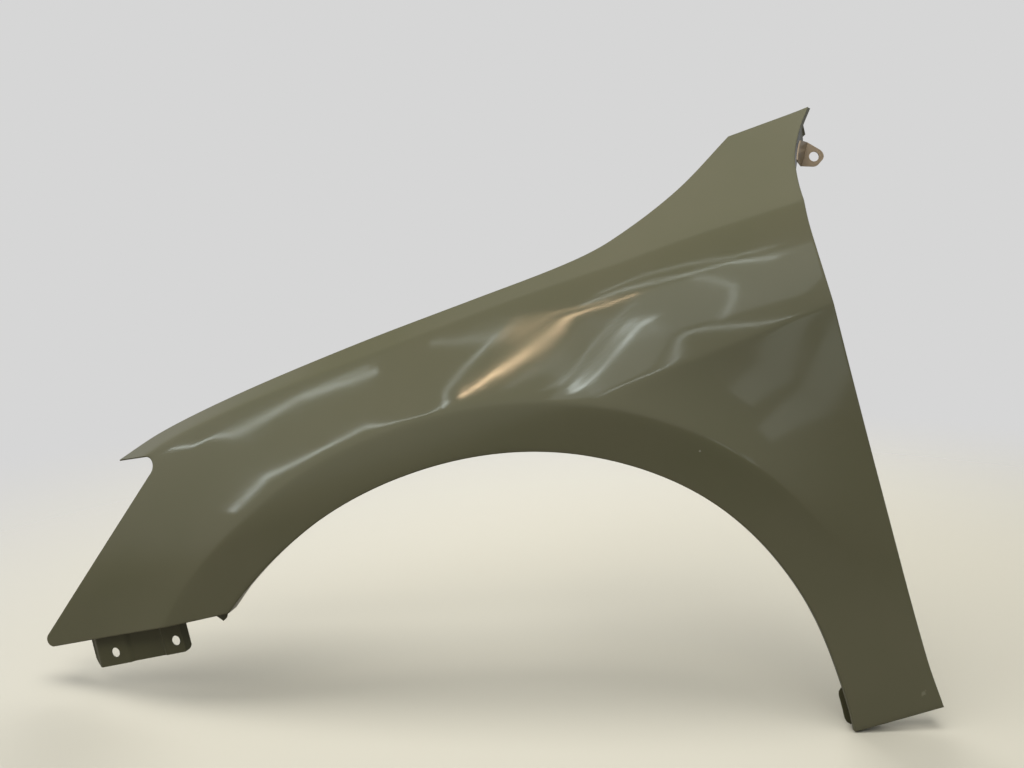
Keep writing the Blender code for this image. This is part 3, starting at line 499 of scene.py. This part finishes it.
def top_rows():
    """Grid rows of the top strip and sail, from the seam to the hood edge."""
    outer = outer_line()
    first = CORNER_CELLS + FRONT_CELLS + NOTCH_CELLS
    low = outer[first:first + SHOULDER_CELLS + 1]
    high = even_line(SPIKE_TIP[0], COWL_CORNER[0], hood_edge, SHOULDER_CELLS - COWL_CELLS)
    high += even_line(COWL_CORNER[0], COWL_END[0] - EDGE_BEND, hood_edge, COWL_CELLS)[1:]
    front = arc(NOTCH_CENTRE, NOTCH_RADIUS + EDGE_BEND, 0.0, pi / 2, NOTCH_CELLS)
    front += [(blend(NOTCH_TOP[0], SPIKE_TIP[0], t), blend(NOTCH_TOP[1], SPIKE_TIP[1], t))
              for t in shares(TOP_ROWS - NOTCH_CELLS)[1:]]
    top_shares = shares(TOP_ROWS)
    rows = []
    for t, edge in zip(top_shares, front):
        row = [(blend(a[0], b[0], t), blend(a[1], b[1], t)) for a, b in zip(low, high)]
        ahead, up = edge[0] - row[0][0], edge[1] - row[0][1]
        behind = door_edge(row[-1][1]) - EDGE_BEND - row[-1][0]
        shifted = []
        for (x, z), (place, _) in zip(row, low):
            at_notch = 1 - smooth_step(place, low[0][0], low[0][0] + SEAM_RUN)
            at_sail = smooth_step(place, low[-1][0] - SAIL_RUN, low[-1][0])
            shifted.append((x + at_notch * ahead + at_sail * behind, z + at_notch * up))
        rows.append(shifted)
    return rows


# Mesh building

def add_grid(bm, rows):
    """A square grid whose points are moved onto the rows; gives its vertices, row by row."""
    across, up = len(rows[0]) - 1, len(rows) - 1
    made = bmesh.ops.create_grid(bm, x_segments=across, y_segments=up, size=0.5)["verts"]
    grid = [[None] * (across + 1) for _ in rows]
    for vert in made:
        column = round((vert.co.x + 0.5) * across)
        row = round((vert.co.y + 0.5) * up)
        grid[row][column] = vert
    for row, points in zip(grid, rows):
        for vert, point in zip(row, points):
            vert.co = Vector(point) if len(point) == 3 else on_panel(*point)
    return grid


def extrude_chain(bm, chain, moves):
    """Draws the edges of a chain out by one row; each new vertex takes its own move."""
    edges = [bm.edges.get(pair) for pair in zip(chain, chain[1:])]
    made = bmesh.ops.extrude_edge_only(bm, edges=edges)["geom"]
    fresh = {v for v in made if isinstance(v, bmesh.types.BMVert)}
    new_chain = []
    for vert, move in zip(chain, moves):
        twin = next(e.other_vert(vert) for e in vert.link_edges if e.other_vert(vert) in fresh)
        twin.co = vert.co + Vector(move)
        new_chain.append(twin)
    return new_chain


def outward(chain):
    """Direction away from the panel at each vertex of its border, seen from the side."""
    sides = []
    for a, b in zip(chain, chain[1:]):
        run = Vector((b.co.x - a.co.x, b.co.z - a.co.z)).normalized()
        sides.append(Vector((run.y, -run.x)))
    result = []
    for i in range(len(chain)):
        near = sides[max(i - 1, 0):i + 1] or sides[:1]
        mean = sum(near, Vector((0.0, 0.0))).normalized()
        reach = 1.0 / max(mean.dot(near[0]), MITRE_LIMIT)
        result.append(Vector((mean.x * reach, 0.0, mean.y * reach)))
    return result


def edge_flange_depth(vert):
    """How deep the edge flange is behind this vertex of the border."""
    x, z, angle = vert.co.x, vert.co.z, degrees(atan2(vert.co.z, vert.co.x))
    if x > 0 and z < LEG_BOTTOM + BORDER_BAND:
        return blend(LEG_FLANGE, FOOT_FLANGE, smooth_step(x - arch_radius(angle), *FOOT_FLANGE_RUN))
    if x > door_edge(z) - BORDER_BAND:
        sail = blend(SAIL_TIP_FLANGE, SAIL_FLANGE, smooth_step(COWL_END[1] - z, *SAIL_TIP_RUN))
        return blend(DOOR_FLANGE, sail, smooth_step(z, *SAIL_FLANGE_HEIGHTS))
    if hypot(x, z) < arch_radius(angle) + BORDER_BAND:
        arch = blend(LEG_FLANGE, ARCH_FLANGE, smooth_step(angle, *ARCH_FLANGE_FADE))
        return blend(arch, BUMPER_FLANGE, smooth_step(angle, *BUMPER_FLANGE_FADE))
    if z < NOTCH_CENTRE[1] - NOTCH_RADIUS:
        above = z - FRONT_BOTTOM
        return blend(BUMPER_FLANGE, LAMP_FLANGE, smooth_step(above, 0.0, LAMP_FLANGE_RUN))
    return blend(NOTCH_FLANGE, SPIKE_FLANGE, smooth_step(-x, -NOTCH_CENTRE[0], -SPIKE_TIP[0]))


def sail_lean(z):
    """How far the sail's flange leans rearward for its depth."""
    return SAIL_FLANGE_LEAN * smooth_step(z, *SAIL_LEAN_HEIGHTS)


def flange_wall(vert):
    """Move from the bend to the flange's free edge; only the sail's flange leans."""
    inboard = edge_flange_depth(vert)
    at_rear = vert.co.x > door_edge(vert.co.z) - BORDER_BAND
    return Vector((sail_lean(vert.co.z) * inboard if at_rear else 0.0, inboard, 0.0))


def flange_moves(chain):
    """Moves of a border's bend rows and of the wall behind them."""
    away = outward(chain)
    rows = []
    for step in range(BEND_STEPS):
        early, late = (pi / 2 * (step + k) / BEND_STEPS for k in (0, 1))
        out = EDGE_BEND * (sin(late) - sin(early))
        back = EDGE_BEND * (cos(early) - cos(late))
        rows.append([d * out + Vector((0.0, back, 0.0)) for d in away])
    rows.append([flange_wall(v) for v in chain])
    return rows


def seat_height(index):
    return hood_edge(SEATS[index]) - WALL_HEIGHT


def seat_reach(index):
    """Half the level length of a seat; the origin seat carries two holes."""
    return ORIGIN_SEAT_HALF if index == ORIGIN_SEAT_INDEX else SEAT_HALF


def ledge_height(x):
    """The hood-side ledge is level at each bolt seat and slopes from seat to seat."""
    for index in range(len(SEATS) - 1):
        flat_end = SEATS[index] + seat_reach(index)
        next_flat = SEATS[index + 1] - seat_reach(index + 1)
        if x <= flat_end:
            return seat_height(index)
        if x < next_flat:
            t = smooth_step(x, flat_end, next_flat)
            return blend(seat_height(index), seat_height(index + 1), t)
    return seat_height(len(SEATS) - 1)


def add_hood_flange(bm, chain):
    """A rounded bend at the hood edge, a wall down from it and the ledge at its foot."""
    start, end = SPIKE_TIP[0] + LEDGE_ENDS[0], COWL_END[0] - LEDGE_ENDS[1]
    chain = [v for v in chain if start <= v.co.x <= end]
    all_drops = (HOOD_BEND_STEPS + 1) / 2     # the drops grow by the step and add up to the bend
    for share in shares(HOOD_BEND_STEPS)[1:]:
        turn = Vector((0.0, HOOD_BEND[0] / HOOD_BEND_STEPS, -HOOD_BEND[1] * share / all_drops))
        chain = extrude_chain(bm, chain, [turn] * len(chain))
    moves = []
    for vert in chain:
        grown = smooth_step(vert.co.x, start, start + LEDGE_RUN_IN)
        level = blend(vert.co.z - WALL_START_HEIGHT, ledge_height(vert.co.x), grown)
        moves.append((0.0, WALL_LEAN, level - vert.co.z))
    foot = extrude_chain(bm, chain, moves)
    inner = extrude_chain(bm, foot, [(0.0, EDGE_BEND, 0.0)] * len(foot))
    extrude_chain(bm, inner, [(0.0, LEDGE_WIDTH - EDGE_BEND, 0.0)] * len(inner))


def turn_outward(bm, towards):
    bmesh.ops.recalc_face_normals(bm, faces=bm.faces)
    bm.faces.ensure_lookup_table()
    if bm.faces[0].normal.dot(Vector(towards)) < 0:
        bmesh.ops.reverse_faces(bm, faces=bm.faces)


def hole_cutter(places, direction, radius):
    """One object with a round cutter at each place."""
    turn = Vector(direction).to_track_quat("Z", "Y").to_matrix().to_4x4()
    bm = bmesh.new()
    for place in places:
        bmesh.ops.create_cone(bm, cap_ends=True, segments=HOLE_SIDES, radius1=radius,
                              radius2=radius, depth=2 * CUTTER_REACH,
                              matrix=Matrix.Translation(place) @ turn)
    mesh = bpy.data.meshes.new("hole_cutter")
    bm.to_mesh(mesh)
    bm.free()
    cutter = bpy.data.objects.new("hole_cutter", mesh)
    bpy.context.scene.collection.objects.link(cutter)
    return cutter


def finish_piece(bm, name, material, gauge, cutter):
    """Gauge and holes, applied to the mesh, with its place in the mesh."""
    mesh = bpy.data.meshes.new(name)
    bmesh.ops.translate(bm, verts=bm.verts, vec=PART_SHIFT)
    bm.to_mesh(mesh)
    bm.free()
    obj = bpy.data.objects.new(name, mesh)
    bpy.context.scene.collection.objects.link(obj)
    solid = obj.modifiers.new("gauge", "SOLIDIFY")
    solid.thickness = gauge
    solid.offset = -1.0     # the sheet's outer side stays where it is drawn
    solid.use_even_offset = False
    cutter.data.transform(Matrix.Translation(PART_SHIFT))
    cut = obj.modifiers.new("hole", "BOOLEAN")
    cut.operation = "DIFFERENCE"
    cut.solver = "EXACT"
    cut.object = cutter
    bpy.context.view_layer.update()
    finished = bpy.data.meshes.new_from_object(
        obj.evaluated_get(bpy.context.evaluated_depsgraph_get()))
    obj.modifiers.clear()
    obj.data = finished
    bpy.data.meshes.remove(mesh)
    finished.name = name
    bpy.data.objects.remove(cutter, do_unlink=True)
    finished.materials.clear()
    finished.materials.append(material)
    finished.shade_smooth()
    finished.set_sharp_from_angle(angle=SHARP_ANGLE)
    return obj


def dress(piece, node):
    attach(piece, "root")
    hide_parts(node)


# Materials

def hex_colour(code):
    """sRGB hex to linear."""
    parts = [int(code[i:i + 2], 16) / 255 for i in (0, 2, 4)]
    linear = [c / 12.92 if c <= 0.04045 else ((c + 0.055) / 1.055) ** 2.4 for c in parts]
    return (*linear, 1.0)


def add_node(material, kind, settings=None, inputs=None):
    """Adds a node with its settings; an input is a value or another node's socket."""
    tree = material.node_tree
    node = tree.nodes.new(kind)
    for key, value in (settings or {}).items():
        setattr(node, key, value)
    for key, value in (inputs or {}).items():
        if isinstance(value, bpy.types.NodeSocket):
            tree.links.new(value, node.inputs[key])
        else:
            node.inputs[key].default_value = value
    return node


def per_metre(millimetres):
    """Noise scale that gives features of about this size."""
    return 1000.0 / millimetres


def coated_steel(name, colour, darker, roughness, peel=BRACKET_PEEL, marks=()):
    """Electro-dipped primer on pressed steel: a thin even film with fine orange peel."""
    material = bpy.data.materials.new(name)
    material.use_nodes = True
    shader = material.node_tree.nodes["Principled BSDF"]
    place = add_node(material, "ShaderNodeTexCoord").outputs["Object"]
    # The film is a little thinner and darker in patches about as wide as a hand
    patches = add_node(material, "ShaderNodeTexNoise", inputs={
        "Vector": place, "Scale": per_metre(PATCH_MM), "Detail": 3.0, "Roughness": 0.55})
    tone = add_node(material, "ShaderNodeMapRange", inputs={
        "Value": patches.outputs["Fac"], "From Min": NOISE_SPAN[0], "From Max": NOISE_SPAN[1]})
    mix = add_node(material, "ShaderNodeMix", {"data_type": "RGBA"}, {
        "Factor": tone.outputs["Result"], "A": hex_colour(darker), "B": hex_colour(colour)})
    film = mix.outputs["Result"]
    for spot, width, shade in marks:
        # A mark of its real size, ragged where the film broke: the noise is about a half, so
        # the mark fades out between a third and two thirds of its width from its middle
        ragged = add_node(material, "ShaderNodeTexNoise", inputs={
            "Vector": place, "Scale": per_metre(1000 * MARK_GRAIN * width), "Detail": 3.0})
        reach = add_node(material, "ShaderNodeVectorMath", {"operation": "DISTANCE"}, {
            0: place, 1: on_panel(*spot) + PART_SHIFT})
        edge = add_node(material, "ShaderNodeMath", {"operation": "MULTIPLY"}, {
            0: reach.outputs["Value"], 1: ragged.outputs["Fac"]})
        inside = add_node(material, "ShaderNodeMapRange", inputs={
            "Value": edge.outputs["Value"], "From Min": width / 3, "From Max": width / 6})
        film = add_node(material, "ShaderNodeMix", {"data_type": "RGBA"}, {
            "Factor": inside.outputs["Result"], "A": film,
            "B": hex_colour(shade)}).outputs["Result"]
    material.node_tree.links.new(film, shader.inputs["Base Color"])
    # Gloss changes slightly where the film dried faster
    haze = add_node(material, "ShaderNodeTexNoise", inputs={
        "Vector": place, "Scale": per_metre(HAZE_MM), "Detail": 4.0, "Roughness": 0.6})
    gloss = add_node(material, "ShaderNodeMapRange", inputs={
        "Value": haze.outputs["Fac"], "From Min": NOISE_SPAN[0], "From Max": NOISE_SPAN[1],
        "To Min": roughness - GLOSS_SPREAD, "To Max": roughness + GLOSS_SPREAD})
    material.node_tree.links.new(gloss.outputs["Result"], shader.inputs["Roughness"])
    # Orange peel, drawn at its real pitch
    peel_noise = add_node(material, "ShaderNodeTexNoise", inputs={
        "Vector": place, "Scale": per_metre(PEEL_MM), "Detail": 2.0})
    bump = add_node(material, "ShaderNodeBump", inputs={
        "Strength": peel, "Distance": PEEL_HEIGHT, "Height": peel_noise.outputs["Fac"]})
    material.node_tree.links.new(bump.outputs["Normal"], shader.inputs["Normal"])
    shader.inputs["Metallic"].default_value = 0.0
    shader.inputs["IOR"].default_value = PRIMER_IOR
    return material


# Pieces

def build_skin(material):
    """The pressing, with its creases rounded as a die rounds them."""
    bm = bmesh.new()
    side = add_grid(bm, side_rows())
    top = add_grid(bm, top_rows())
    first = CORNER_CELLS + FRONT_CELLS + NOTCH_CELLS
    last = first + SHOULDER_CELLS
    bottom_front = [row[0] for row in side]
    arch = side[0]
    foot = [row[-1] for row in side]
    door = side[-1][last:]
    front = side[-1][:first + 1]
    bmesh.ops.weld_verts(bm, targetmap=dict(zip(top[0], side[-1][first:last + 1])))
    spike = [row[0] for row in top][1:]
    sail = [row[-1] for row in top][1:]
    border = (spike[::-1] + front[::-1] + bottom_front[::-1][1:] + arch[1:]
              + foot[1:] + door[::-1][1:] + sail)
    for moves in flange_moves(border):
        border = extrude_chain(bm, border, moves)
    add_hood_flange(bm, top[-1])
    turn_outward(bm, (0.0, -1.0, 0.0))
    places = []
    for index, x in enumerate(SEATS):
        spread = HOLE_SPREAD if index == ORIGIN_SEAT_INDEX else 0.0
        for side_of_seat in ((-1, 1) if spread else (1,)):
            y = depth(x, hood_edge(x)) + HOOD_BEND[0] + WALL_LEAN + LEDGE_WIDTH / 2
            places.append(Vector((x + side_of_seat * spread, y, ledge_height(x) - SKIN_GAUGE)))
    cutter = hole_cutter(places, (0, 0, 1), HOLE_RADIUS)
    piece = finish_piece(bm, "fender_pressing", material, SKIN_GAUGE, cutter)
    dress(piece, "fender_skin")


def stepped(knots, place):
    """Level ground between knots, joined by rounded steps."""
    for (x0, y0), (x1, y1) in zip(knots, knots[1:]):
        if place <= x1:
            return blend(y0, y1, smooth_step(place, x0, x1))
    return knots[-1][1]


def build_front_bracket(material):
    """Pressed plate with a rounded fold under the bumper flange."""
    front = arch_end(FRONT_BOTTOM, behind=False) - FRONT_BRACKET_TO_ARCH - FRONT_BRACKET_RUN
    along = Vector((cos(FRONT_BRACKET_TURN), -sin(FRONT_BRACKET_TURN), 0.0))
    inward = Vector((sin(FRONT_BRACKET_TURN), cos(FRONT_BRACKET_TURN), 0.0))
    down = Vector((0.0, 0.0, -1.0))
    start = Vector((front, depth(front, FRONT_BOTTOM) + FRONT_BRACKET_INSET,
                    FRONT_BOTTOM - WELD_GAP))
    length = FRONT_BRACKET_FORM[-1][0]
    columns = []
    plate_rows, fold_rows, ledge_rows = FRONT_BRACKET_ROWS
    for t in shares(FRONT_BRACKET_COLUMNS):
        s = length * t
        short = 0.0
        for radius, run in zip(FRONT_BRACKET_CORNERS, (s, length - s)):
            if run < radius:
                short = radius - sqrt(radius * radius - (radius - run) ** 2)
        height = FRONT_BRACKET_HEIGHT - short
        back = stepped(FRONT_BRACKET_FORM, s)
        bend = FRONT_BRACKET_BEND
        column = [(back, blend(height, bend, u)) for u in shares(plate_rows)]
        column += [(back + bend * (1 - cos(pi / 2 * u)), bend * (1 - sin(pi / 2 * u)))
                   for u in shares(fold_rows)[1:]]
        column += [(blend(back + bend, FRONT_BRACKET_LEDGE, u), 0.0)
                   for u in shares(ledge_rows)[1:]]
        columns.append([start + along * s + inward * y + down * z for y, z in column])
    bm = bmesh.new()
    add_grid(bm, [[tuple(column[r]) for column in columns] for r in range(len(columns[0]))])
    turn_outward(bm, (0.0, -1.0, 0.0))
    places = [start + along * s + down * drop for s, drop in FRONT_BRACKET_HOLES]
    cutter = hole_cutter(places, inward, FRONT_BRACKET_HOLE_RADIUS)
    piece = finish_piece(bm, "front_bracket_plate", material, BRACKET_GAUGE, cutter)
    dress(piece, "front_lower_bracket")


# Electro-dip primer cured smooth on the drawn outer sheet: olive grey, and glossy enough to
# mirror the room's lamps as thin soft streaks
skin_primer = coated_steel("olive_dip_primer", "625f4a", "5f5d47", SKIN_ROUGHNESS,
                           SKIN_PEEL, SKIN_MARKS)
# The same dip on thicker, plainer bracket steel, satin so its pads show softly; its darker colour
# is painted shade, standing in for the shade of its recess behind the skin's front edge
recess_shaded_bracket_primer = coated_steel("recess_shade_dip_primer", "55533c", "4e4c37", BRACKET_ROUGHNESS)
# A bronze-toned dip: a small warm, light tab against the olive sheet
bronze_primer = coated_steel("bronze_dip_primer", "9a8870", "8c7a63", BRONZE_ROUGHNESS)
# Bracket steel behind the leg: a dark satin edge, its colour darkened as painted shade, standing in
# for the shade the leg casts on it
shaded_foot_primer = coated_steel("foot_painted_shade_primer", "55523c", "4e4b37", BRACKET_ROUGHNESS)
# The hook at the arch's front end: satin, a shade lighter than the brackets
tab_primer = coated_steel("tab_dip_primer", "5c5a45", "545240", BRACKET_ROUGHNESS)

build_skin(skin_primer)
# The front bracket's primer is darkened as painted shade of its recess
build_front_bracket(recess_shaded_bracket_primer)
# The rear lower bracket's primer is darkened as painted shade from the leg in front of it
for node, material in (("rear_upper_bracket", bronze_primer),
                       ("rear_lower_bracket", shaded_foot_primer), ("arch_liner_tab", tab_primer)):
    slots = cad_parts[node].data.materials
    if slots:
        slots[0] = material
    else:
        slots.append(material)


# Floor, lights and camera

def add_camera():
    data = bpy.data.cameras.new("photo_camera")
    data.sensor_width = SENSOR_MM
    data.lens = FOCAL_PIXELS * SENSOR_MM / PHOTO_WIDTH
    camera = bpy.data.objects.new("photo_camera", data)
    turn = Matrix((PHOTO_RIGHT, PHOTO_UP, Vector((0.0, -1.0, 0.0)))).transposed().to_4x4()
    camera.matrix_world = Matrix.Translation(CAMERA_PLACE) @ turn
    bpy.context.scene.collection.objects.link(camera)
    bpy.context.scene.camera = camera


def add_area(name, place, target, size, power, along, colour=WHITE):
    """A rectangular soft light that faces the target; along is the direction of its length."""
    data = bpy.data.lights.new(name, "AREA")
    data.shape = "RECTANGLE"
    data.size, data.size_y = size
    data.energy = power
    data.color = colour
    light = bpy.data.objects.new(name, data)
    facing = (target - place).normalized()
    run = (along - facing * along.dot(facing)).normalized()
    turn = Matrix((run, (-facing).cross(run), -facing)).transposed()
    light.matrix_world = Matrix.Translation(place) @ turn.to_4x4()
    bpy.context.scene.collection.objects.link(light)
    return light


def add_floor():
    """A pale disc under the fender that fades into the background; from below it isn't seen."""
    normal = (PHOTO_UP + Vector((0, -tan(FLOOR_LEAN), 0))).normalized()
    across = PHOTO_RIGHT
    back = normal.cross(across)
    bm = bmesh.new()
    bmesh.ops.create_circle(bm, cap_ends=True, segments=FLOOR_SIDES, radius=FLOOR_RADIUS)
    mesh = bpy.data.meshes.new("pale_floor")
    bm.to_mesh(mesh)
    bm.free()
    floor = bpy.data.objects.new("pale_floor", mesh)
    turn = Matrix((across, back, normal)).transposed().to_4x4()
    floor.matrix_world = Matrix.Translation(FLOOR_FOOT - normal * FLOOR_GAP) @ turn
    bpy.context.scene.collection.objects.link(floor)
    material = bpy.data.materials.new("pale_floor")
    material.use_nodes = True
    tree = material.node_tree
    shader = tree.nodes["Principled BSDF"]
    rays = add_node(material, "ShaderNodeLightPath")
    colour = add_node(material, "ShaderNodeMix", {"data_type": "RGBA"}, {
        "Factor": rays.outputs["Is Camera Ray"], "A": hex_colour(FLOOR_COLOURS[0]),
        "B": hex_colour(FLOOR_COLOURS[1])})
    tree.links.new(colour.outputs["Result"], shader.inputs["Base Color"])
    shader.inputs["Roughness"].default_value = FLOOR_ROUGHNESS
    place = add_node(material, "ShaderNodeTexCoord").outputs["Object"]
    reach = add_node(material, "ShaderNodeVectorMath", {"operation": "LENGTH"}, {0: place})
    fade = add_node(material, "ShaderNodeMapRange", {"interpolation_type": "SMOOTHSTEP"}, {
        "Value": reach.outputs["Value"], "From Min": FLOOR_FADE[0], "From Max": FLOOR_FADE[1]})
    clear = add_node(material, "ShaderNodeBsdfTransparent")
    below = add_node(material, "ShaderNodeNewGeometry").outputs["Backfacing"]
    unseen = add_node(material, "ShaderNodeMath", {"operation": "MAXIMUM"}, {
        0: fade.outputs["Result"], 1: below})
    mixed = add_node(material, "ShaderNodeMixShader", inputs={
        "Fac": unseen.outputs["Value"], 1: shader.outputs["BSDF"], 2: clear.outputs["BSDF"]})
    tree.links.new(mixed.outputs["Shader"], tree.nodes["Material Output"].inputs["Surface"])
    mesh.materials.append(material)


def toward(azimuth, elevation):
    """Direction in the room: azimuth to the right of straight back from the fender, in degrees."""
    a, e = radians(azimuth), radians(elevation)
    return (PHOTO_RIGHT * sin(a) * cos(e) + PHOTO_UP * sin(e)
            + Vector((0.0, -1.0, 0.0)) * cos(a) * cos(e))


def add_lamp_line(name, places, width, radiance, colour):
    """Far strip lights that follow a line of directions in the room."""
    for number, (start, end) in enumerate(zip(places, places[1:]), 1):
        first, last = toward(*start) * ROOM, toward(*end) * ROOM
        middle, run = (first + last) / 2, last - first
        size = (run.length, ROOM * radians(width))
        power = radiance * pi * size[0] * size[1]
        add_area(f"{name}_{number}", middle, Vector(), size, power, run, colour)


def add_world():
    """The room as the primer mirrors it: a pale wall band between floor and darker ceiling."""
    world = bpy.data.worlds.new("room")
    bpy.context.scene.world = world
    world.use_nodes = True
    tree = world.node_tree
    looks = add_node(world, "ShaderNodeTexCoord").outputs["Generated"]
    height = add_node(world, "ShaderNodeVectorMath", {"operation": "DOT_PRODUCT"}, {
        0: looks, 1: PHOTO_UP})
    ramp = add_node(world, "ShaderNodeValToRGB")
    tree.links.new(add_node(world, "ShaderNodeMapRange", inputs={
        "Value": height.outputs["Value"], "From Min": -1.0, "From Max": 1.0}).outputs["Result"],
        ramp.inputs["Fac"])
    steps = ramp.color_ramp.elements
    while len(steps) > 1:
        steps.remove(steps[-1])
    steps[0].position, steps[0].color = ROOM_COLOURS[0][0], hex_colour(ROOM_COLOURS[0][1])
    for place, code in ROOM_COLOURS[1:]:
        step = steps.new(place)
        step.color = hex_colour(code)
    room = tree.nodes["Background"]
    tree.links.new(ramp.outputs["Color"], room.inputs["Color"])
    side = add_node(world, "ShaderNodeVectorMath", {"operation": "DOT_PRODUCT"}, {
        0: looks, 1: PHOTO_RIGHT})
    strength = add_node(world, "ShaderNodeMapRange", inputs={
        "Value": side.outputs["Value"], "From Min": -1.0, "From Max": 1.0,
        "To Min": ROOM_STRENGTHS[0], "To Max": ROOM_STRENGTHS[1]})
    tree.links.new(strength.outputs["Result"], room.inputs["Strength"])
    wall = add_node(world, "ShaderNodeBackground", inputs={
        "Color": hex_colour(WALL_COLOUR), "Strength": 1.0})
    rays = add_node(world, "ShaderNodeLightPath")
    mixed = add_node(world, "ShaderNodeMixShader", inputs={
        "Fac": rays.outputs["Is Camera Ray"], 1: room.outputs["Background"],
        2: wall.outputs["Background"]})
    tree.links.new(mixed.outputs["Shader"], tree.nodes["World Output"].inputs["Surface"])


add_camera()
add_floor()
add_world()
for name, direction, distance, shift, size, power, mirrored in SOFT_LIGHTS:
    place = LIT_PLACE + toward(*direction) * distance + PHOTO_RIGHT * shift
    soft = add_area(name, place, LIT_PLACE, size, power, PHOTO_RIGHT)
    soft.visible_glossy = mirrored
for number, lamp in enumerate(LAMP_LINES, 1):
    add_lamp_line(f"lamp_{number}", *lamp)

bpy.context.scene.view_settings.view_transform = "Standard"
